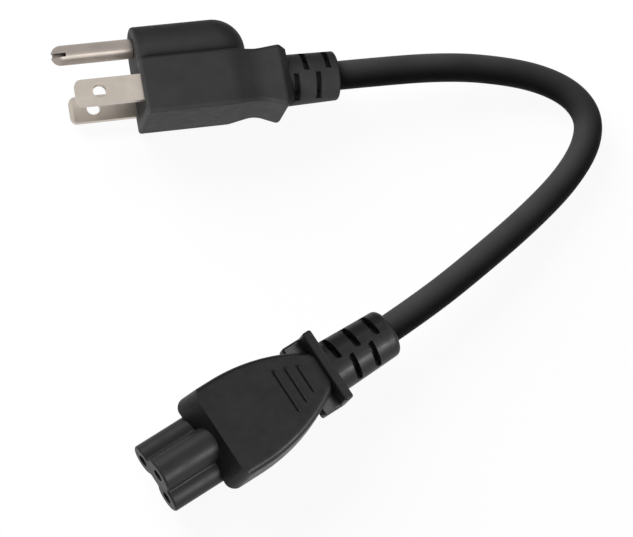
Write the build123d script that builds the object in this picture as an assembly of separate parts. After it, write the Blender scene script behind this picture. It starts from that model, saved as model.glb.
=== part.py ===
from build123d import *
import os
from math import asin, cos, degrees, radians, sin, sqrt, tan

# Short mains cord: a moulded plug with two blades and an earth pin, a round cord of three cores,
# and a cloverleaf appliance connector.
# Millimetres. +X runs from the prongs towards the cord, +Y to the earth pin's side, +Z up.
# The origin lies on the plug's flat underside, on the centre line of its blades.

# Cord
conductor_d = 1.2
conductor_gap = 0.02
insulation_wall = 0.6
core_gap = 0.04
jacket_wall = 0.85
lay_gap = 0.05

# Prongs
blade_width = 6.35
blade_thick = 1.52
blade_pitch = 12.7
blade_length = 15.9
blade_corner = 1.6
blade_hole_d = 3.2
blade_hole_from_tip = 5.7
blade_root = 3.5
blade_bevel_run = 0.8
blade_bevel_rise = 0.25
pin_d = 4.75
pin_root_d = 4.2
pin_root_show = 0.4
pin_wall = 0.85
pin_length = 19.2
pin_offset = 11.86
pin_slit_width = 0.9
pin_slit_turn = 14.0
pin_slit_length = 3.3

# Crimp barrels, the same on prongs and contacts
crimp_wall = 0.75
crimp_length = 5.0
crimp_neck_width = 2.2
crimp_neck_length = 1.6
bare_end_gap = 0.8
core_start_gap = 1.0

# Plug body
plug_thick = 17.2
plug_half_width = 6.9
plug_face_x = -12.0
grip_start = 21.8
waist_x = 28.0
waist_low = 6.1
waist_high = 6.7
waist_half_thick = 6.9
flange_x = 33.7
flange_low = 8.3
flange_high = 7.0
flange_half_thick = 7.7
flange_corner_r = 1.2
grip_bend_r = 9.0
plug_edge_r = 0.9
hump_half_thick = 6.6
hump_top = 16.8
hump_straight = 19.2
hump_end_r = 7.8
face_edge_r = 0.7
bridge_depth = 6.0
bridge_wall = 0.6
bridge_side = 1.9
bridge_boss_wall = 1.6

# Plug strain relief
plug_relief_start = 35.4
plug_relief_end = 47.8
plug_relief_root_r = 6.2
plug_relief_tip_r = 5.9
plug_relief_edge_r = 0.5
plug_slot_first = 1.0
plug_slot_pitch = 2.7
plug_slot_count = 4
plug_slot_width = 1.5

# Connector nose
socket_pitch = 10.0
socket_rise = 4.8
lobe_d = 7.4
earth_lobe_d = 8.4
nose_length = 12.6
nose_inner = 11.0
nose_web_low = 1.0
nose_valley_r = 0.6
nose_edge_r = 0.5
socket_d = 3.0
socket_lip = 2.0
chamber_gap = 0.05
rib_height = 0.9
rib_start = 4.4
rib_length = 2.0
cover_thick = 2.0
cover_plug_length = 1.5
cover_core_gap = 0.05

# Contacts
sleeve_bore_d = 2.3
sleeve_wall = 0.5
sleeve_length = 9.0
sleeve_front_gap = 0.3
sleeve_slit = 0.6
contact_neck_length = 2.9

# Connector body
connector_thick = 17.2
body_half_width = 12.1
body_straight = 8.5
body_side_r = 44.0
body_tail = 33.0
body_corner = 2.2
body_corner_bulge = 0.5
body_edge_r = 1.6
body_inset = 0.6
front_slope = 3.2
neck_start = 22.0
neck_r = 7.0
wing_start = 27.2
wing_low = 1.0
wing_top = 5.0
collar_end = 34.0
collar_half_width = 9.2
collar_edge_r = 0.6
end_rib_length = 2.3
end_rib_top = 10.5
end_rib_cove_r = 1.2
bar_first = 21.8
bar_pitch = 2.75
bar_lengths = (10.9, 9.2, 7.0)
bar_width = 0.8
bar_height = 0.6
bar_edge_r = 0.25

# Connector strain relief
relief_end = 52.6
relief_root_r = 6.6
relief_tip_r = 5.9
relief_edge_r = 1.4
slot_first = 2.45
slot_pitch = 2.75
slot_count = 5
slot_width = 1.6
slot_floor = 0.4
slot_bridge = 0.25
slot_wall = 0.3
slot_web = 1.2

# Cores inside the two bodies
plug_splay_run = 2.5
plug_splay_end = 29.4
plug_jacket_stop = 31.0
connector_splay_run = 2.0
connector_splay_end = 26.0
connector_jacket_stop = 29.0
splay_r = 4.0

# Sizes that follow from the ones above
core_d = conductor_d + 2 * insulation_wall
bundle_r = (core_d + core_gap) / sqrt(3)
jacket_bore = 2 * (bundle_r + core_d / 2 + core_gap)
cord_d = jacket_bore + 2 * jacket_wall
crimp_bore = conductor_d + 2 * conductor_gap
crimp_d = crimp_bore + 2 * crimp_wall
lay_z = cord_d / 2 + lay_gap
plug_axis_z = plug_thick / 2
connector_axis_z = connector_thick / 2
blade_z = blade_pitch / 2
socket_z = socket_rise / 2

# The cord's middle line, from its end in the plug to its end in the connector
route = [
    (plug_face_x + plug_jacket_stop, 0.0, plug_axis_z),
    (42.0, 0.0, plug_axis_z),
    (65.3, -0.1, 7.0),
    (81.5, -2.5, 4.6),
    (91.0, -5.9, lay_z),
    (96.7, -10.6, lay_z),
    (98.9, -16.3, lay_z),
    (97.1, -22.4, lay_z),
    (92.2, -28.6, lay_z),
    (84.6, -35.2, 3.9),
    (70.1, -45.1, 5.8),
    (43.2, -61.1, connector_axis_z),
    (15.6, -73.4, connector_axis_z),
]
bend_share = 0.45


def bend_radii(points):
    """Largest arc at each corner that leaves room for its neighbours' arcs."""
    radii = []
    for before, here, after in zip(points, points[1:], points[2:]):
        run_in = here - before
        run_out = after - here
        shorter = min(run_in.length, run_out.length)
        half_turn = radians(run_in.get_angle(run_out)) / 2
        radii.append(bend_share * shorter / tan(half_turn))
    return radii


def swept(points, radii, section):
    """A section carried along straight runs joined by tangent arcs."""
    path = FilletPolyline(*points, radius=radii)
    start = Plane(origin=points[0], z_dir=points[1] - points[0])
    return sweep(start * section, path=path)


cord_points = [Vector(*point) for point in route]
cord_radii = bend_radii(cord_points)

# The plug and the connector each lie on the cord's own end runs
plug_place = Location((plug_face_x, 0, plug_axis_z))
connector_axis = (cord_points[-2] - cord_points[-1]).normalized()
connector_plane = Plane(
    origin=cord_points[-1] - connector_axis * connector_jacket_stop,
    x_dir=connector_axis,
    z_dir=(0, 0, 1),
)
connector_place = connector_plane.location


def in_plug(x, y, z):
    """A point given from the middle of the plug's face."""
    return Vector(plug_face_x + x, y, plug_axis_z + z)


def in_connector(along, across, z):
    """A point given from the middle of the connector's shoulder."""
    return connector_plane.from_local_coords(Vector(along, across, z))


def across_axis(shape, start):
    """Stands a flat section on the X axis, with its own x along Y and its y along Z."""
    return Plane(origin=(start, 0, 0), x_dir=(0, 1, 0), z_dir=(1, 0, 0)) * shape


def enclosed(*lines):
    """The flat face inside lines that meet end to end."""
    return make_face([edge for line in lines for edge in line.edges()])


# Cord pieces
def offset_route(offset):
    """The cord's route moved sideways, with its bends kept round the same centres."""
    points = []
    radii = []
    for i in range(1, len(cord_points) - 1):
        here = cord_points[i]
        way_in = (here - cord_points[i - 1]).normalized()
        way_out = (cord_points[i + 1] - here).normalized()
        middle = (way_in + way_out).normalized()
        inward = (way_out - way_in * way_out.dot(way_in)).normalized()
        points.append(here + offset - way_in * (offset.dot(middle) / way_in.dot(middle)))
        radii.append(cord_radii[i - 1] - offset.dot(inward))
        turn = way_in.get_angle(way_out)
        offset = offset.rotate(Axis((0, 0, 0), way_in.cross(way_out)), turn)
    return points, radii, offset


def core_line(angle, prong, contact):
    """One core's middle line from its prong's crimp to its contact's crimp."""
    start_offset = Vector(0, cos(radians(angle)), sin(radians(angle))) * bundle_r
    points, radii, end_offset = offset_route(start_offset)
    prong_x, prong_y, prong_z = prong
    contact_y, contact_z = contact[1:]
    leave = in_plug(prong_x + plug_splay_run, prong_y, prong_z)
    gather = in_plug(plug_splay_end, 0, 0) + start_offset
    part = in_connector(connector_splay_end, 0, 0) + end_offset
    arrive = in_connector(cover_end + connector_splay_run, contact_y, contact_z)
    ends = (in_plug(*prong), in_connector(*contact))
    line = [ends[0], leave, gather, *points, part, arrive, ends[1]]
    return line, [splay_r, splay_r, *radii, splay_r, splay_r]


def bared(line, length):
    """A core's line made longer at both ends, to reach into the crimps."""
    first = line[0] + (line[0] - line[1]).normalized() * length
    last = line[-1] + (line[-1] - line[-2]).normalized() * length
    return [first, *line[1:-1], last]


def ring(outer_d, inner_d):
    return Circle(outer_d / 2) - Circle(inner_d / 2)


# Prongs
prong_crimp_start = bridge_depth + blade_root + crimp_neck_length
prong_core_start = prong_crimp_start + crimp_length + core_start_gap
bare_length = crimp_length + core_start_gap - bare_end_gap


def crimp(start):
    """Round barrel closed over a bared conductor, and its filled form."""
    filled = extrude(across_axis(Circle(crimp_d / 2), start), crimp_length)
    barrel = extrude(across_axis(ring(crimp_d, crimp_bore), start), crimp_length)
    return barrel, filled


def blade():
    """Flat blade, its root in the bridge, its neck and its crimp; and the same with the bore filled."""
    tip_x = -blade_length
    root_x = bridge_depth + blade_root
    flat = Polyline(
        (tip_x, -blade_width / 2),
        (root_x, -blade_width / 2),
        (root_x + crimp_neck_length, -crimp_neck_width / 2),
        (root_x + crimp_neck_length, crimp_neck_width / 2),
        (root_x, blade_width / 2),
        (tip_x, blade_width / 2),
        close=True,
    )
    outline = make_face(flat)
    tip_corners = outline.vertices().sort_by(Axis.X)[:2]
    outline = fillet(tip_corners, blade_corner)
    hole = Pos(tip_x + blade_hole_from_tip, 0) * Circle(blade_hole_d / 2)
    strip = extrude(outline - hole, blade_thick / 2, both=True)
    bevel_z = blade_thick / 2 - blade_bevel_rise
    side = Polyline(
        (tip_x, -bevel_z),
        (tip_x + blade_bevel_run, -blade_thick / 2),
        (prong_crimp_start, -blade_thick / 2),
        (prong_crimp_start, blade_thick / 2),
        (tip_x + blade_bevel_run, blade_thick / 2),
        (tip_x, bevel_z),
        close=True,
    )
    strip &= extrude(Plane.XZ * make_face(side), blade_width, both=True)
    barrel, filled = crimp(prong_crimp_start)
    return strip + barrel, strip + filled


def ground_pin():
    """Rolled pin with a domed tip that is slit, its neck and its crimp; and its filled form."""
    radius = pin_d / 2
    dome_x = radius - pin_length
    root_x = bridge_depth + blade_root
    rod = extrude(across_axis(Circle(radius), dome_x), -pin_root_show - dome_x)
    root = extrude(across_axis(Circle(pin_root_d / 2), -pin_root_show), root_x + pin_root_show)
    dome = Pos(dome_x, 0, 0) * Sphere(radius)
    neck = extrude(across_axis(Circle(crimp_neck_width / 2), root_x), crimp_neck_length)
    outer = rod + dome + root + neck
    bore = extrude(across_axis(Circle(radius - pin_wall), dome_x), root_x - pin_wall - dome_x)
    slit_place = Pos(pin_slit_length / 2 - pin_length, 0, 0) * Rot(pin_slit_turn, 0, 0)
    slit = slit_place * Pos(0, 0, pin_wall) * Box(pin_slit_length, pin_slit_width, pin_d)
    barrel, filled = crimp(prong_crimp_start)
    return outer - bore - slit + barrel, outer + filled


# Plug body
bridge_half_thick = blade_z + blade_thick / 2 + bridge_wall
bridge_half_width = blade_width / 2 + bridge_side


def bridge_block():
    """The bridge before its prongs go through it."""
    boss_r = pin_d / 2 + bridge_boss_wall
    plate = Rectangle(2 * bridge_half_width, 2 * bridge_half_thick)
    stem = Pos(pin_offset / 2, 0) * Rectangle(pin_offset, 2 * boss_r)
    boss = Pos(pin_offset, 0) * Circle(boss_r)
    return extrude(across_axis(plate + stem + boss, 0), bridge_depth)


def grip():
    """Flat-sided body with a waist for the fingers and a flange behind it."""
    bends = [grip_bend_r, grip_bend_r, flange_corner_r]
    plan_low = FilletPolyline(
        (0, -plug_half_width),
        (grip_start, -plug_half_width),
        (waist_x, -waist_low),
        (flange_x, -flange_low),
        (plug_relief_start, -plug_relief_root_r),
        radius=bends,
    )
    plan_high = FilletPolyline(
        (0, plug_half_width),
        (grip_start, plug_half_width),
        (waist_x, waist_high),
        (flange_x, flange_high),
        (plug_relief_start, plug_relief_root_r),
        radius=bends,
    )
    back = Line((plug_relief_start, plug_relief_root_r), (plug_relief_start, -plug_relief_root_r))
    plan_front = Line((0, plug_half_width), (0, -plug_half_width))
    plan = enclosed(plan_low, back, plan_high, plan_front)
    upper = FilletPolyline(
        (0, plug_thick / 2),
        (grip_start, plug_thick / 2),
        (waist_x, waist_half_thick),
        (flange_x, flange_half_thick),
        (plug_relief_start, plug_relief_root_r),
        radius=bends,
    )
    lower = mirror(upper, about=Plane.XZ)
    side_front = Line((0, plug_thick / 2), (0, -plug_thick / 2))
    side = enclosed(upper, lower, side_front, back)
    body = extrude(plan, plug_thick, both=True)
    body &= extrude(Plane.XZ * side, plug_thick, both=True)
    body = fillet(body.edges().filter_by(is_long_edge), plug_edge_r)
    return fillet(body.faces().sort_by(Axis.X)[0].edges(), face_edge_r)


def is_long_edge(edge):
    """True for the grip's edges that run from its face to its flange."""
    middle = edge.center()
    at_corner = abs(middle.Y) > waist_low / 2 and abs(middle.Z) > waist_half_thick / 2
    return at_corner and middle.X < flange_x and edge.bounding_box().size.X > plug_edge_r


def hump():
    """Arched housing over the earth pin, with a rounded end."""
    centre_y = hump_top - hump_half_thick
    turn_y = hump_top - hump_end_r
    arch = Pos(centre_y / 2, 0) * Rectangle(centre_y, 2 * hump_half_thick)
    arch += Pos(centre_y, 0) * Circle(hump_half_thick)
    straight = extrude(across_axis(arch, 0), hump_straight)
    straight = fillet(straight.faces().sort_by(Axis.X)[0].edges(), face_edge_r)
    above = Pos(turn_y + hump_top / 2, 0) * Rectangle(hump_top, 2 * plug_thick)
    end_section = across_axis(arch & above, hump_straight)
    turn_axis = Axis((hump_straight, turn_y, 0), (0, 0, -1))
    dome = revolve(end_section, axis=turn_axis, revolution_arc=90)
    foot_face = dome.faces().filter_by(Axis.Y).sort_by(Axis.Y)[0]
    foot = extrude(foot_face, turn_y, dir=(0, -1, 0))
    return straight + dome + foot


def slotted_relief(start, end, root_r, tip_r, edge_r, first, first_side, pitch, count, width):
    """Tapered strain relief, slotted from above and below beside the cord, first on the +Y or -Y side."""
    length = end - start
    middle = Plane(origin=(start, 0, 0), z_dir=(1, 0, 0))
    cone = loft([middle * Circle(root_r), middle.offset(length) * Circle(tip_r)])
    tip_edge = cone.edges().filter_by(GeomType.CIRCLE).sort_by(Axis.X)[-1]
    relief = fillet(tip_edge, edge_r)
    floor_r = cord_d / 2 + slot_floor
    for i in range(count):
        side = first_side if i % 2 == 0 else -first_side
        place = start + first + i * pitch
        slot_r = root_r + (tip_r - root_r) * (place + width / 2 - start) / length
        reach = slot_r - slot_wall - slot_bridge
        window = Pos(side * (slot_bridge + reach / 2), 0) * Rectangle(reach, 2 * slot_r)
        window -= Circle(floor_r) + Rectangle(4 * slot_r, slot_web)
        relief -= extrude(across_axis(window, place), width)
    return relief


def plug_shell():
    """Outer form of the plug's moulding."""
    relief = slotted_relief(
        plug_relief_start - plug_edge_r,
        plug_relief_end,
        plug_relief_root_r,
        plug_relief_tip_r,
        plug_relief_edge_r,
        plug_slot_first + plug_edge_r,
        -1,
        plug_slot_pitch,
        plug_slot_count,
        plug_slot_width,
    )
    return grip() + hump() + relief


# Connector
chamber_d = sleeve_bore_d + 2 * sleeve_wall + 2 * chamber_gap
sleeve_start = socket_lip + sleeve_front_gap - nose_length
contact_crimp_start = sleeve_start + sleeve_length + contact_neck_length
contact_core_start = contact_crimp_start + crimp_length + core_start_gap
cover_end = nose_inner + cover_thick
socket_places = {
    "line": (socket_pitch / 2, -socket_z),
    "neutral": (-socket_pitch / 2, -socket_z),
    "earth": (0.0, socket_z),
}


def clover(grow=0.0):
    """Section of the nose: three lobes, the earth lobe wider, and the web between them."""
    side_x = socket_pitch / 2
    lobe_r = lobe_d / 2 + grow
    earth_r = earth_lobe_d / 2 + grow
    earth_y = socket_z + (lobe_d - earth_lobe_d) / 2
    web = Polyline(
        (-side_x, -socket_z - nose_web_low - grow),
        (side_x, -socket_z - nose_web_low - grow),
        (side_x, -socket_z),
        (0, earth_y),
        (-side_x, -socket_z),
        close=True,
    )
    section = make_face(web)
    section += Pos(side_x, -socket_z) * Circle(lobe_r)
    section += Pos(-side_x, -socket_z) * Circle(lobe_r)
    section += Pos(0, earth_y) * Circle(earth_r)
    return fillet(section.vertices(), nose_valley_r)


def insert_block():
    """The insert's outer form with its cover on, before its chambers are made."""
    block = extrude(across_axis(clover(), -nose_length), nose_length + cover_end)
    rib = extrude(across_axis(clover(rib_height), rib_start), rib_length)
    return block + rib


def connector_insert():
    """Nose with three sockets, each opening into a chamber for its contact."""
    nose = extrude(across_axis(clover(), -nose_length), nose_length + nose_inner)
    front = nose.faces().sort_by(Axis.X)[0]
    nose = fillet(front.edges(), nose_edge_r)
    nose += extrude(across_axis(clover(rib_height), rib_start), rib_length)
    chamber_start = socket_lip - nose_length
    for place in socket_places.values():
        nose -= extrude(across_axis(Pos(*place) * Circle(socket_d / 2), -nose_length), nose_length)
        chamber = across_axis(Pos(*place) * Circle(chamber_d / 2), chamber_start)
        nose -= extrude(chamber, nose_inner - chamber_start)
    return nose


def back_cover():
    """Cap behind the insert, with a short plug in each chamber round its core."""
    cover = extrude(across_axis(clover(), nose_inner), cover_thick)
    hole_d = core_d + 2 * cover_core_gap
    plug_d = chamber_d - 2 * chamber_gap
    plug_start = nose_inner - cover_plug_length
    for place in socket_places.values():
        cover += extrude(across_axis(Pos(*place) * Circle(plug_d / 2), plug_start), cover_plug_length)
        hole = across_axis(Pos(*place) * Circle(hole_d / 2), plug_start)
        cover -= extrude(hole, cover_plug_length + cover_thick)
    return cover


def contact():
    """Slit spring sleeve, a half-round neck and a crimp barrel."""
    sleeve_d = sleeve_bore_d + 2 * sleeve_wall
    sleeve = extrude(across_axis(ring(sleeve_d, sleeve_bore_d), sleeve_start), sleeve_length)
    slit_place = (sleeve_start + sleeve_length / 2, 0, sleeve_d / 2)
    sleeve -= Pos(*slit_place) * Box(sleeve_length, sleeve_slit, sleeve_d)
    lower_half = Pos(0, -crimp_d / 2) * Rectangle(crimp_d, crimp_d)
    neck = extrude(
        across_axis(ring(crimp_d, crimp_bore) & lower_half, sleeve_start + sleeve_length),
        contact_neck_length,
    )
    barrel = crimp(contact_crimp_start)[0]
    return sleeve + neck + barrel


def shield(front, inset):
    """Plan of the connector's body: a front with bowed corners, straight sides, then arcs in to the tail."""
    wide = body_half_width - inset
    turn = degrees(asin((body_tail - body_straight) / body_side_r))
    corner = SagittaArc((front, wide - body_corner), (front + body_corner, wide), body_corner_bulge)
    run = Line((front + body_corner, wide), (body_straight, wide))
    arc = JernArc((body_straight, wide), (1, 0), body_side_r, -turn)
    left = Curve() + corner + run + arc
    right = mirror(left, about=Plane.XZ)
    nose_side = Line((front, wide - body_corner), (front, body_corner - wide))
    tail_y = (arc @ 1).Y
    tail_side = Line((body_tail, tail_y), (body_tail, -tail_y))
    return enclosed(left, tail_side, right, nose_side)


def body_block():
    """Two mirrored halves that slope back at the front and in at the sides from the middle."""
    top = connector_thick / 2
    upper = loft([shield(0, 0), Pos(0, 0, top) * shield(front_slope, body_inset)], ruled=True)
    rim = upper.faces().sort_by(Axis.Z)[-1].edges().sort_by(Axis.X)
    upper = fillet(rim.filter_by(is_side_rim), body_edge_r)
    return upper + mirror(upper, about=Plane.XY)


def is_side_rim(edge):
    """True for the edges of the body's top that run from a front corner to the tail."""
    middle = edge.center()
    return front_slope + body_corner < middle.X < body_tail - body_edge_r


def collar_block(start, top):
    """Box across the body's tail that ends with the collar, with all its edges rounded."""
    size = (collar_end - start, 2 * collar_half_width, top - wing_low)
    middle = ((start + collar_end) / 2, 0, (top + wing_low) / 2)
    box = Pos(*middle) * Box(*size)
    return fillet(box.edges(), collar_edge_r)


def rib_cove(rib_front, top):
    """Hollow-rounded foot in front of the end rib, as wide as the flat of the body's top."""
    section = Pos(rib_front, top) * Rectangle(2 * end_rib_cove_r, 2 * end_rib_cove_r)
    section -= Pos(rib_front - end_rib_cove_r, top + end_rib_cove_r) * Circle(end_rib_cove_r)
    foot = extrude(Plane.XZ * section, body_half_width, both=True)
    flat = Pos(0, 0, top) * shield(front_slope, body_inset + body_edge_r)
    return foot & extrude(flat, end_rib_cove_r, both=True)


def connector_shell():
    """Outer form of the connector's moulding."""
    top = connector_thick / 2
    neck = extrude(across_axis(Circle(neck_r), neck_start), collar_end - collar_edge_r - neck_start)
    shell = body_block() + neck
    shell += collar_block(wing_start, wing_top)
    rib_front = collar_end - end_rib_length
    shell += collar_block(rib_front, end_rib_top)
    shell += rib_cove(rib_front, top)
    for i, length in enumerate(bar_lengths):
        bar_x = bar_first + i * bar_pitch
        bar = Pos(bar_x, 0, top) * Box(bar_width, length, 2 * bar_height)
        shell += fillet(bar.edges(), bar_edge_r)
    shell += slotted_relief(
        collar_end - collar_edge_r,
        relief_end,
        relief_root_r,
        relief_tip_r,
        relief_edge_r,
        slot_first + collar_edge_r,
        1,
        slot_pitch,
        slot_count,
        slot_width,
    )
    return shell


# Build
prong_places = {
    "line": (0.0, blade_z),
    "neutral": (0.0, -blade_z),
    "earth": (pin_offset, 0.0),
}
# Where each core lies round the cord's middle, so that none crosses another at either end
core_angles = {"line": 165, "neutral": 285, "earth": 45}
parts = {}
plug_body = plug_place * plug_shell()
connector_body = connector_place * connector_shell()

jacket = swept(cord_points, cord_radii, ring(cord_d, jacket_bore))
jacket_rod = swept(cord_points, cord_radii, Circle(cord_d / 2))
parts["cord_jacket"] = jacket
plug_body -= jacket_rod
connector_body -= jacket_rod

for name, angle in core_angles.items():
    prong = (prong_core_start, *prong_places[name])
    socket = (contact_core_start, *socket_places[name])
    line, radii = core_line(angle, prong, socket)
    parts[name + "_core_insulation"] = swept(line, radii, ring(core_d, crimp_bore))
    conductor = swept(bared(line, bare_length), radii, Circle(conductor_d / 2))
    parts[name + "_conductor"] = conductor
    core_rod = swept(line, radii, Circle(core_d / 2))
    plug_body -= core_rod + conductor
    connector_body -= core_rod

blade_piece, blade_filled = blade()
pin_piece, pin_filled = ground_pin()
bridge = plug_place * bridge_block()
plug_body -= bridge
prongs = {
    "line_blade": (prong_places["line"], blade_piece, blade_filled),
    "neutral_blade": (prong_places["neutral"], blade_piece, blade_filled),
    "ground_pin": (prong_places["earth"], pin_piece, pin_filled),
}
for name, (place, piece, filled) in prongs.items():
    move = plug_place * Pos(0, *place)
    parts[name] = move * piece
    bridge -= move * filled
    plug_body -= move * filled
parts["plug_bridge"] = bridge
parts["plug_overmould"] = plug_body

parts["connector_insert"] = connector_place * connector_insert()
parts["insert_back_cover"] = connector_place * back_cover()
for name, place in socket_places.items():
    parts[name + "_contact"] = connector_place * Pos(0, *place) * contact()
parts["connector_overmould"] = connector_body - connector_place * insert_block()

os.makedirs("parts", exist_ok=True)
for name, part in parts.items():
    export_step(part, "parts/" + name + ".step")
    print(name, round(part.volume, 2), "mm3,", len(part.solids()), "solid", part.is_valid)

cord_length = FilletPolyline(*cord_points, radius=cord_radii).length
print("bend radii", [round(radius, 1) for radius in cord_radii])
swept_volume = cord_length * ring(cord_d, jacket_bore).area
print("cord length", round(cord_length, 2), "section x length", round(swept_volume, 2))
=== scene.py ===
from math import cos, radians, sin

import bpy
from mathutils import Matrix, Vector


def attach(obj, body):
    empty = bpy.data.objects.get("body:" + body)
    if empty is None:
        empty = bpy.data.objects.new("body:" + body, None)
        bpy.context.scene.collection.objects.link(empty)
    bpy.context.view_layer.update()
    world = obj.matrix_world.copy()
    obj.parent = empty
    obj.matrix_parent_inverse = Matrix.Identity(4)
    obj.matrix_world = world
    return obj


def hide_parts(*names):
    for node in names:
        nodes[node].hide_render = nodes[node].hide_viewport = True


bl_info = {
    "name": "Cloverleaf power cord",
    "version": (1, 0, 0),
    "blender": (4, 5, 0),
    "location": "View3D > Sidebar > Power Cord",
    "description": "Dresses the packed power cord: moulded vinyl, plated prongs, the cord and its studio",
    "category": "Object",
}

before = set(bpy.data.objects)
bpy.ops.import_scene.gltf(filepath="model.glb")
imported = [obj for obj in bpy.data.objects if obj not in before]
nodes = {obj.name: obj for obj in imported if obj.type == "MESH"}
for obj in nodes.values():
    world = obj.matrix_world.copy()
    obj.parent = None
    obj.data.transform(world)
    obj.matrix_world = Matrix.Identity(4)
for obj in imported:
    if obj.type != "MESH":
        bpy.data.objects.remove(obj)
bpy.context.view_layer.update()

# CAD nodes that share a finish or a lamp
WIRES = ("line", "neutral", "earth")
PLUG = ("plug_overmould", "plug_bridge")
CONNECTOR = ("connector_overmould", "connector_insert")
BLADES = ("line_blade", "neutral_blade")
PRONGS = (*BLADES, "ground_pin")
CONTACTS = tuple(wire + "_contact" for wire in WIRES)
CONDUCTORS = tuple(wire + "_conductor" for wire in WIRES)

# The cord's route in metres, from its end in the plug to its end in the connector
CORD_ROUTE = (
    (0.0190, 0.0000, 0.00860),
    (0.0420, 0.0000, 0.00860),
    (0.0653, -0.0001, 0.00700),
    (0.0815, -0.0025, 0.00460),
    (0.0910, -0.0059, 0.00355),
    (0.0967, -0.0106, 0.00355),
    (0.0989, -0.0163, 0.00355),
    (0.0971, -0.0224, 0.00355),
    (0.0922, -0.0286, 0.00355),
    (0.0846, -0.0352, 0.00390),
    (0.0701, -0.0451, 0.00580),
    (0.0432, -0.0611, 0.00860),
    (0.0156, -0.0734, 0.00860),
)

# Steps from each point of the route to the next, and in each quarter of the cord's round
ROUTE_STEPS = 16
ROUND_STEPS = 10

# The range that most of a noise texture's values lie in
NOISE_RANGE = (0.3, 0.7)

# How squarely a face of the connector looks up where its etching and its painted top light start and where
# they are full
ETCH_AND_LIGHT_FACING = (0.90, 0.99)

# The flat top of the collar's wings, and how far above it polish turns into etching, in metres
WING_TOP = 0.0136
ETCH_START = 0.0001
ETCH_FULL = 0.0005

# How much smoother the connector's vinyl is than the plug's
CONNECTOR_POLISH = 0.16

# Brush lines run along X, the way that the prongs point, so their noise is drawn out that way
BRUSH_STRETCH = (0.02, 1.0, 1.0)

# The softboxes: the way to each, its distance and width in metres, and what it falls on
LAMPS = {
    "key": ((-0.449, 0.744, 0.496), 1.0, 0.7, ("cord", "floor")),
    "nose": ((-0.449, 0.744, 0.496), 1.0, 0.7, ("connector_insert",)),
    "fill": ((-0.230, -0.220, 0.950), 1.0, 1.2, PLUG + CONNECTOR),
    "side": ((0.576, -0.543, 0.612), 0.6, 0.2, CONNECTOR),
    "wings": ((0.234, 0.224, 0.946), 0.6, 0.4, ("connector_overmould",)),
    "front": ((-0.740, -0.400, 0.540), 0.6, 0.3, PLUG),
    "gleam": ((0.234, -0.600, 0.765), 0.6, 0.3, PRONGS),
}

# Softboxes that show as gloss and give no other light
GLOSS_ONLY = ("wings",)

# The floor: half its width and its drop in metres, its own glow, and the grey that lights the object
FLOOR_REACH = 2.0
FLOOR_DROP = 0.0002
FLOOR_GLOW = 0.94
FLOOR_BOUNCE = 0.05

# The world's strength where it is seen, and as a source of light
WORLD_SEEN = 1.0
WORLD_LIGHT = 0.03

# The camera: target, distance and clip in metres, angles in degrees, lens and sensor in millimetres
CAMERA_TARGET = (0.0239, -0.045763, 0.005)
CAMERA_DISTANCE = 0.6
CAMERA_CLIP = 0.01
CAMERA_AZIMUTH = -46.29
CAMERA_ELEVATION = 71.10
CAMERA_ROLL = 37.691
CAMERA_LENS = 144.6
SENSOR_WIDTH = 36.0


# Settings
class CordSettings(bpy.types.PropertyGroup):
    """Sizes and finish of the cord"""

    diameter: bpy.props.FloatProperty(
        name="Diameter", description="Outer diameter of the cord", default=0.007, unit="LENGTH"
    )
    length: bpy.props.FloatProperty(
        name="Length", description="Length of the jacket from stop to stop", default=0.1895, unit="LENGTH"
    )
    colour: bpy.props.FloatVectorProperty(
        name="Colour", description="Colour of the jacket", default=(0.047, 0.047, 0.048), subtype="COLOR"
    )
    roughness: bpy.props.FloatProperty(
        name="Roughness", description="Mean roughness of the jacket", default=0.62, subtype="FACTOR"
    )


class VinylSettings(bpy.types.PropertyGroup):
    """Colours and grain of the mouldings"""

    plug_colour: bpy.props.FloatVectorProperty(
        name="Plug colour", description="Colour of the plug's vinyl", default=(0.038, 0.038, 0.038),
        subtype="COLOR",
    )
    connector_colour: bpy.props.FloatVectorProperty(
        name="Connector colour", description="Colour of the connector's vinyl",
        default=(0.011, 0.011, 0.011), subtype="COLOR",
    )
    insert_colour: bpy.props.FloatVectorProperty(
        name="Insert colour", description="Colour of the nose and the plug's bridge",
        default=(0.012, 0.012, 0.012), subtype="COLOR",
    )
    roughness: bpy.props.FloatProperty(
        name="Roughness", description="Mean roughness of the plug's vinyl", default=0.58, subtype="FACTOR"
    )
    grain_size: bpy.props.FloatProperty(
        name="Grain size", description="Width of the mould's fine grain", default=0.00035, unit="LENGTH"
    )
    grain_depth: bpy.props.FloatProperty(
        name="Grain depth", description="Height of the mould's fine grain", default=0.00002, unit="LENGTH"
    )


class MetalSettings(bpy.types.PropertyGroup):
    """Colours of the prongs, contacts and conductors, and their brush lines"""

    blade_plating: bpy.props.FloatVectorProperty(
        name="Blade plating", description="Colour of the blades' nickel plating",
        default=(0.53, 0.475, 0.42), subtype="COLOR",
    )
    pin_plating: bpy.props.FloatVectorProperty(
        name="Pin plating", description="Colour of the rolled pin's duller plating",
        default=(0.36, 0.32, 0.285), subtype="COLOR",
    )
    brass: bpy.props.FloatVectorProperty(
        name="Brass", description="Colour of the contacts", default=(0.70, 0.55, 0.25), subtype="COLOR"
    )
    copper: bpy.props.FloatVectorProperty(
        name="Copper", description="Colour of the conductors", default=(0.72, 0.40, 0.25), subtype="COLOR"
    )
    brush_width: bpy.props.FloatProperty(
        name="Brush width", description="Width of one brush line on the metal", default=0.00025,
        unit="LENGTH",
    )


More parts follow.
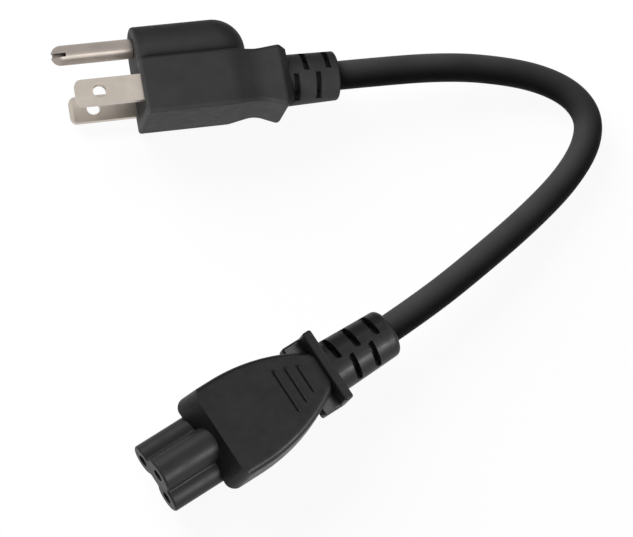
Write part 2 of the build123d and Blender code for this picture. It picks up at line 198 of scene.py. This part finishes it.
class CoreSettings(bpy.types.PropertyGroup):
    """Colours of the three cores"""

    line: bpy.props.FloatVectorProperty(
        name="Line", description="Colour of the line core", default=(0.03, 0.03, 0.03), subtype="COLOR"
    )
    neutral: bpy.props.FloatVectorProperty(
        name="Neutral", description="Colour of the neutral core", default=(0.80, 0.80, 0.78),
        subtype="COLOR",
    )
    earth: bpy.props.FloatVectorProperty(
        name="Earth", description="Colour of the earth core", default=(0.05, 0.35, 0.10), subtype="COLOR"
    )


class StageSettings(bpy.types.PropertyGroup):
    """Power of the softboxes, and the floor's shadow"""

    key_power: bpy.props.FloatProperty(
        name="Key", description="Power of the softbox on the cord and the floor", default=13.0, unit="POWER"
    )
    nose_power: bpy.props.FloatProperty(
        name="Nose", description="Power of the softbox on the nose", default=9.0, unit="POWER"
    )
    fill_power: bpy.props.FloatProperty(
        name="Fill", description="Power of the overhead softbox on the mouldings", default=3.0, unit="POWER"
    )
    side_power: bpy.props.FloatProperty(
        name="Side", description="Power of the softbox on the connector", default=4.5, unit="POWER"
    )
    wings_power: bpy.props.FloatProperty(
        name="Wings", description="Power of the softbox that the collar's wings mirror", default=3.2,
        unit="POWER",
    )
    front_power: bpy.props.FloatProperty(
        name="Front", description="Power of the softbox on the plug", default=5.2, unit="POWER"
    )
    gleam_power: bpy.props.FloatProperty(
        name="Gleam", description="Power of the softbox on the prongs", default=1.4, unit="POWER"
    )
    shadow: bpy.props.FloatProperty(
        name="Shadow", description="How much the lamps' light and shade show on the floor", default=0.10,
        subtype="FACTOR",
    )


# Shader nodes
def add(tree, kind, **inputs):
    """A shader node with its inputs set by name."""
    made = tree.nodes.new(kind)
    for name, value in inputs.items():
        made.inputs[name.replace("_", " ")].default_value = value
    return made


def noise(tree, vector, size, detail=2.0):
    """Noise whose lumps are about size metres wide."""
    made = add(tree, "ShaderNodeTexNoise", Scale=1.0 / size, Detail=detail)
    tree.links.new(vector, made.inputs["Vector"])
    return made.outputs["Fac"]


def remap(tree, value, start, end, low, high):
    """A value that goes from low to high while another one goes from start to end."""
    made = add(tree, "ShaderNodeMapRange", From_Min=start, From_Max=end, To_Min=low, To_Max=high)
    tree.links.new(value, made.inputs["Value"])
    return made.outputs["Result"]


def spread(tree, value, middle, by):
    """A noise value spread to both sides of a middle one."""
    return remap(tree, value, *NOISE_RANGE, middle - by, middle + by)


def shade(tree, value, colour, dark, light):
    """A colour that a noise value takes from dark to light, which are factors on it."""
    ramp = tree.nodes.new("ShaderNodeValToRGB")
    for stop, position, factor in zip(ramp.color_ramp.elements, NOISE_RANGE, (dark, light)):
        stop.position = position
        stop.color = (*(channel * factor for channel in colour), 1)
    tree.links.new(value, ramp.inputs["Fac"])
    return ramp.outputs["Color"]


def combine(tree, operation, *values):
    """The result of a Math node fed with values."""
    made = tree.nodes.new("ShaderNodeMath")
    made.operation = operation
    for value, socket in zip(values, made.inputs):
        tree.links.new(value, socket)
    return made.outputs["Value"]


def height_of(tree, coordinate):
    """The Z of a texture coordinate, named as its output is."""
    split = tree.nodes.new("ShaderNodeSeparateXYZ")
    tree.links.new(tree.nodes.new("ShaderNodeTexCoord").outputs[coordinate], split.inputs["Vector"])
    return split.outputs["Z"]


# Materials
def principled(name, shine):
    """A new node material of one specular level, its tree, its shader and its object coordinates."""
    material = bpy.data.materials.new(name)
    material.use_nodes = True
    tree = material.node_tree
    shader = tree.nodes["Principled BSDF"]
    shader.inputs["Specular IOR Level"].default_value = shine
    place = tree.nodes.new("ShaderNodeTexCoord").outputs["Object"]
    return material, tree, shader, place


def surface(tree, shader, colour, roughness, height, depth, strength):
    """Feeds a shader with a colour, a roughness and a bump of some depth in metres."""
    tree.links.new(colour, shader.inputs["Base Color"])
    tree.links.new(roughness, shader.inputs["Roughness"])
    bump = add(tree, "ShaderNodeBump", Distance=depth, Strength=strength)
    tree.links.new(height, bump.inputs["Height"])
    tree.links.new(bump.outputs["Normal"], shader.inputs["Normal"])


def vinyl(name, colour, shine, roughness, settings):
    """Moulded black vinyl: fine mould grain, and a faint mottle in its colour and polish."""
    material, tree, shader, place = principled(name, shine)
    mottle = noise(tree, place, size=0.006, detail=4.0)
    polish = noise(tree, place, size=0.0018, detail=3.0)
    surface(
        tree,
        shader,
        colour=shade(tree, mottle, colour, dark=0.88, light=1.12),
        roughness=spread(tree, polish, roughness, by=0.05),
        height=noise(tree, place, settings.grain_size),
        depth=settings.grain_depth,
        strength=0.5,
    )
    return material


def etch_and_light_top(material, painted_top_light, duller, polish):
    """Etches faces that look straight up, which turns them duller, paints them lighter as painted light
    from above, and polishes the low wings.
    """
    tree = material.node_tree
    shader = tree.nodes["Principled BSDF"]
    facing = height_of(tree, "Normal")
    # Painted light: faces that look up get a lighter base colour, as if lit from above.
    tint = tree.nodes.new("ShaderNodeVectorMath")
    tint.operation = "SCALE"
    tree.links.new(shader.inputs["Base Color"].links[0].from_socket, tint.inputs["Vector"])
    tree.links.new(remap(tree, facing, *ETCH_AND_LIGHT_FACING, 1.0, painted_top_light), tint.inputs["Scale"])
    tree.links.new(tint.outputs["Vector"], shader.inputs["Base Color"])
    upward = remap(tree, facing, *ETCH_AND_LIGHT_FACING, 0.0, 1.0)
    height = height_of(tree, "Object")
    level = remap(tree, height, WING_TOP + ETCH_START, WING_TOP + ETCH_FULL, -polish, duller)
    plain = shader.inputs["Roughness"].links[0].from_socket
    tree.links.new(combine(tree, "MULTIPLY_ADD", upward, level, plain), shader.inputs["Roughness"])


def jacket_vinyl(settings):
    """Extruded black vinyl: smooth, with a soft waviness under the shine."""
    material, tree, shader, place = principled("cord_vinyl", shine=0.06)
    mottle = noise(tree, place, size=0.009, detail=3.0)
    dull = noise(tree, place, size=0.003, detail=3.0)
    surface(
        tree,
        shader,
        colour=shade(tree, mottle, settings.colour, dark=0.9, light=1.1),
        roughness=spread(tree, dull, settings.roughness, by=0.05),
        height=noise(tree, place, size=0.0006),
        depth=0.00002,
        strength=0.4,
    )
    return material


def brushed(name, colour, width, roughness):
    """Drawn or plated metal with fine lines along the prongs and a few darker patches."""
    material, tree, shader, place = principled(name, shine=0.5)
    shader.inputs["Metallic"].default_value = 1.0
    along = add(tree, "ShaderNodeMapping", Scale=BRUSH_STRETCH)
    tree.links.new(place, along.inputs["Vector"])
    lines = noise(tree, along.outputs["Vector"], width, detail=3.0)
    patches = noise(tree, place, size=0.0035, detail=4.0)
    surface(
        tree,
        shader,
        colour=shade(tree, patches, colour, dark=0.9, light=1.06),
        roughness=spread(tree, lines, roughness, by=0.07),
        height=lines,
        depth=0.00001,
        strength=0.5,
    )
    return material


def plain_plastic(name, colour, shine, roughness):
    """Thin extruded or moulded plastic with a faint cloud in its colour and shine."""
    material, tree, shader, place = principled(name, shine)
    cloud = noise(tree, place, size=0.004, detail=3.0)
    surface(
        tree,
        shader,
        colour=shade(tree, cloud, colour, dark=0.92, light=1.05),
        roughness=spread(tree, cloud, roughness, by=0.05),
        height=noise(tree, place, size=0.0004),
        depth=0.00002,
        strength=0.4,
    )
    return material


def dress(material, *names):
    """Gives CAD nodes one material in every slot."""
    for name in names:
        mesh = nodes[name].data
        mesh.materials.clear()
        mesh.materials.append(material)


# Pieces
class CORD_OT_lay_cord(bpy.types.Operator):
    """Lays the cord along its route"""

    bl_idname = "power_cord.lay_cord"
    bl_label = "Lay the cord"

    def execute(self, context):
        settings = context.scene.cord_settings
        curve = bpy.data.curves.new("cord", "CURVE")
        curve.dimensions = "3D"
        spline = curve.splines.new("NURBS")
        spline.points.add(len(CORD_ROUTE) - 1)
        for point, place in zip(spline.points, CORD_ROUTE):
            point.co = (*place, 1.0)
        spline.order_u = 3
        spline.use_endpoint_u = True
        spline.resolution_u = ROUTE_STEPS
        curve.bevel_depth = settings.diameter / 2
        curve.bevel_resolution = ROUND_STEPS
        curve.use_fill_caps = True
        curve.materials.append(jacket_vinyl(settings))
        cord = bpy.data.objects.new("cord", curve)
        context.scene.collection.objects.link(cord)
        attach(cord, "root")
        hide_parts("cord_jacket")
        return {"FINISHED"}


class CORD_OT_finish_plug(bpy.types.Operator):
    """Gives the plug's moulding and bridge their vinyl and plastic"""

    bl_idname = "power_cord.finish_plug"
    bl_label = "Finish the plug"

    def execute(self, context):
        settings = context.scene.vinyl_settings
        body = vinyl(
            "plug_vinyl", settings.plug_colour, shine=0.10, roughness=settings.roughness, settings=settings
        )
        dress(body, "plug_overmould")
        bridge = plain_plastic("bridge_plastic", settings.insert_colour, shine=0.1, roughness=0.55)
        dress(bridge, "plug_bridge")
        return {"FINISHED"}


class CORD_OT_finish_connector(bpy.types.Operator):
    """Gives the connector's moulding, nose and cover their vinyl and plastic"""

    bl_idname = "power_cord.finish_connector"
    bl_label = "Finish the connector"

    def execute(self, context):
        settings = context.scene.vinyl_settings
        smoother = settings.roughness - CONNECTOR_POLISH
        body = vinyl(
            "connector_vinyl", settings.connector_colour, shine=0.15, roughness=smoother, settings=settings
        )
        # The lighter tone on upward faces is painted light from above; the etching only dulls them.
        etch_and_light_top(body, painted_top_light=1.45, duller=0.42, polish=0.17)
        dress(body, "connector_overmould")
        nose = plain_plastic("insert_plastic", settings.insert_colour, shine=0.16, roughness=0.45)
        dress(nose, "connector_insert", "insert_back_cover")
        return {"FINISHED"}


class CORD_OT_plate_metal(bpy.types.Operator):
    """Plates the prongs and colours the contacts and conductors"""

    bl_idname = "power_cord.plate_metal"
    bl_label = "Plate the metal"

    def execute(self, context):
        settings = context.scene.metal_settings
        width = settings.brush_width
        dress(brushed("blade_plating", settings.blade_plating, width, roughness=0.36), *BLADES)
        dress(brushed("pin_plating", settings.pin_plating, width, roughness=0.42), "ground_pin")
        dress(brushed("contact_brass", settings.brass, width, roughness=0.34), *CONTACTS)
        dress(brushed("copper", settings.copper, width, roughness=0.4), *CONDUCTORS)
        return {"FINISHED"}


class CORD_OT_finish_cores(bpy.types.Operator):
    """Colours the three cores inside the cord"""

    bl_idname = "power_cord.finish_cores"
    bl_label = "Finish the cores"

    def execute(self, context):
        settings = context.scene.core_settings
        for wire in WIRES:
            colour = getattr(settings, wire)
            insulation = plain_plastic(wire + "_insulation", colour, shine=0.3, roughness=0.48)
            dress(insulation, wire + "_core_insulation")
        return {"FINISHED"}


# Stage
def grey(level):
    """An opaque grey, from nought, black, to one, white."""
    return (level, level, level, 1)


def seen_directly(tree):
    """One for camera, glossy and transmission rays, nought for diffuse ones."""
    path = tree.nodes.new("ShaderNodeLightPath").outputs
    seen = combine(tree, "MAXIMUM", path["Is Camera Ray"], path["Is Glossy Ray"])
    return combine(tree, "MAXIMUM", seen, path["Is Transmission Ray"])


def floor_material(shadow):
    """White floor that keeps a soft shadow and throws little light back on the object."""
    material = bpy.data.materials.new("studio_floor")
    material.use_nodes = True
    tree = material.node_tree
    tree.nodes.clear()
    white = add(tree, "ShaderNodeEmission", Color=grey(1), Strength=FLOOR_GLOW)
    lit = add(tree, "ShaderNodeBsdfDiffuse", Color=grey(shadow))
    seen = tree.nodes.new("ShaderNodeAddShader")
    dim = add(tree, "ShaderNodeBsdfDiffuse", Color=grey(FLOOR_BOUNCE))
    mix = tree.nodes.new("ShaderNodeMixShader")
    out = tree.nodes.new("ShaderNodeOutputMaterial")
    tree.links.new(white.outputs["Emission"], seen.inputs[0])
    tree.links.new(lit.outputs["BSDF"], seen.inputs[1])
    tree.links.new(seen_directly(tree), mix.inputs["Fac"])
    tree.links.new(dim.outputs["BSDF"], mix.inputs[1])
    tree.links.new(seen.outputs["Shader"], mix.inputs[2])
    tree.links.new(mix.outputs["Shader"], out.inputs["Surface"])
    return material


def studio_floor(shadow):
    """A wide flat floor just below the object."""
    mesh = bpy.data.meshes.new("floor")
    sides = ((-1, -1), (1, -1), (1, 1), (-1, 1))
    corners = [(x * FLOOR_REACH, y * FLOOR_REACH, -FLOOR_DROP) for x, y in sides]
    mesh.from_pydata(corners, [], [(0, 1, 2, 3)])
    mesh.materials.append(floor_material(shadow))
    return bpy.data.objects.new("floor", mesh)


def studio_world():
    """White to the eye and in reflections, dim as a source of light."""
    world = bpy.data.worlds.new("studio_world")
    world.use_nodes = True
    tree = world.node_tree
    background = tree.nodes["Background"]
    background.inputs["Color"].default_value = grey(1)
    strength = remap(tree, seen_directly(tree), 0.0, 1.0, WORLD_LIGHT, WORLD_SEEN)
    tree.links.new(strength, background.inputs["Strength"])
    return world


def softbox(name, way, distance, width, power):
    """Square lamp that faces the camera's target from a distance along a way."""
    lamp = bpy.data.lights.new(name, "AREA")
    lamp.size = width
    lamp.energy = power
    light = bpy.data.objects.new(name, lamp)
    away = Vector(way).normalized()
    place = Vector(CAMERA_TARGET) + away * distance
    light.matrix_world = Matrix.Translation(place) @ away.to_track_quat("Z", "Y").to_matrix().to_4x4()
    light.visible_diffuse = name not in GLOSS_ONLY
    return light


def light_only(light, names):
    """Lets a lamp fall on the named objects and no others."""
    reach = bpy.data.collections.new(light.name + "_reach")
    for name in names:
        reach.objects.link(nodes[name] if name in nodes else bpy.data.objects[name])
    light.light_linking.receiver_collection = reach


def photo_camera():
    """The camera that sees the object as the photograph does."""
    turn, rise, roll = radians(CAMERA_AZIMUTH), radians(CAMERA_ELEVATION), radians(CAMERA_ROLL)
    level = Vector((cos(turn), sin(turn), 0))
    back = Vector((sin(turn) * cos(rise), -cos(turn) * cos(rise), sin(rise)))
    upward = back.cross(level)
    right = level * cos(roll) + upward * sin(roll)
    up = upward * cos(roll) - level * sin(roll)
    lens = bpy.data.cameras.new("camera")
    lens.sensor_fit = "HORIZONTAL"
    lens.sensor_width = SENSOR_WIDTH
    lens.lens = CAMERA_LENS
    lens.clip_start = CAMERA_CLIP
    camera = bpy.data.objects.new("camera", lens)
    turned = Matrix((right, up, back)).transposed().to_4x4()
    camera.matrix_world = Matrix.Translation(Vector(CAMERA_TARGET) + back * CAMERA_DISTANCE) @ turned
    return camera


class CORD_OT_set_stage(bpy.types.Operator):
    """Sets the floor, the lamps, the world and the camera"""

    bl_idname = "power_cord.set_stage"
    bl_label = "Set the stage"

    def execute(self, context):
        scene = context.scene
        settings = scene.stage_settings
        scene.view_settings.view_transform = "Standard"
        scene.world = studio_world()
        floor = studio_floor(settings.shadow)
        scene.collection.objects.link(floor)
        for name, (way, distance, width, lit) in LAMPS.items():
            light = softbox(name, way, distance, width, getattr(settings, name + "_power"))
            scene.collection.objects.link(light)
            light_only(light, lit)
        camera = photo_camera()
        scene.collection.objects.link(camera)
        scene.camera = camera
        return {"FINISHED"}


class CORD_PT_panel(bpy.types.Panel):
    """Lists the steps that dress the cord, with their settings"""

    bl_label = "Power Cord"
    bl_idname = "CORD_PT_panel"
    bl_space_type = "VIEW_3D"
    bl_region_type = "UI"
    bl_category = "Power Cord"

    def draw(self, context):
        for group in SETTINGS:
            box = self.layout.box()
            settings = getattr(context.scene, group)
            for name in settings.__annotations__:
                box.prop(settings, name)
        for operator in OPERATORS:
            self.layout.operator(operator.bl_idname)


SETTINGS = {
    "cord_settings": CordSettings,
    "vinyl_settings": VinylSettings,
    "metal_settings": MetalSettings,
    "core_settings": CoreSettings,
    "stage_settings": StageSettings,
}
OPERATORS = (
    CORD_OT_lay_cord,
    CORD_OT_finish_plug,
    CORD_OT_finish_connector,
    CORD_OT_plate_metal,
    CORD_OT_finish_cores,
    CORD_OT_set_stage,
)


def register():
    """Adds the settings, the operators and the panel to Blender."""
    for name, settings in SETTINGS.items():
        bpy.utils.register_class(settings)
        setattr(bpy.types.Scene, name, bpy.props.PointerProperty(type=settings))
    for kind in (*OPERATORS, CORD_PT_panel):
        bpy.utils.register_class(kind)


def unregister():
    """Takes the panel, the operators and the settings away again."""
    for kind in (CORD_PT_panel, *reversed(OPERATORS)):
        bpy.utils.unregister_class(kind)
    for name, settings in SETTINGS.items():
        delattr(bpy.types.Scene, name)
        bpy.utils.unregister_class(settings)


def main():
    """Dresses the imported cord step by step."""
    register()
    bpy.ops.power_cord.lay_cord()
    bpy.ops.power_cord.finish_plug()
    bpy.ops.power_cord.finish_connector()
    bpy.ops.power_cord.plate_metal()
    bpy.ops.power_cord.finish_cores()
    bpy.ops.power_cord.set_stage()


if __name__ == "__main__":
    main()
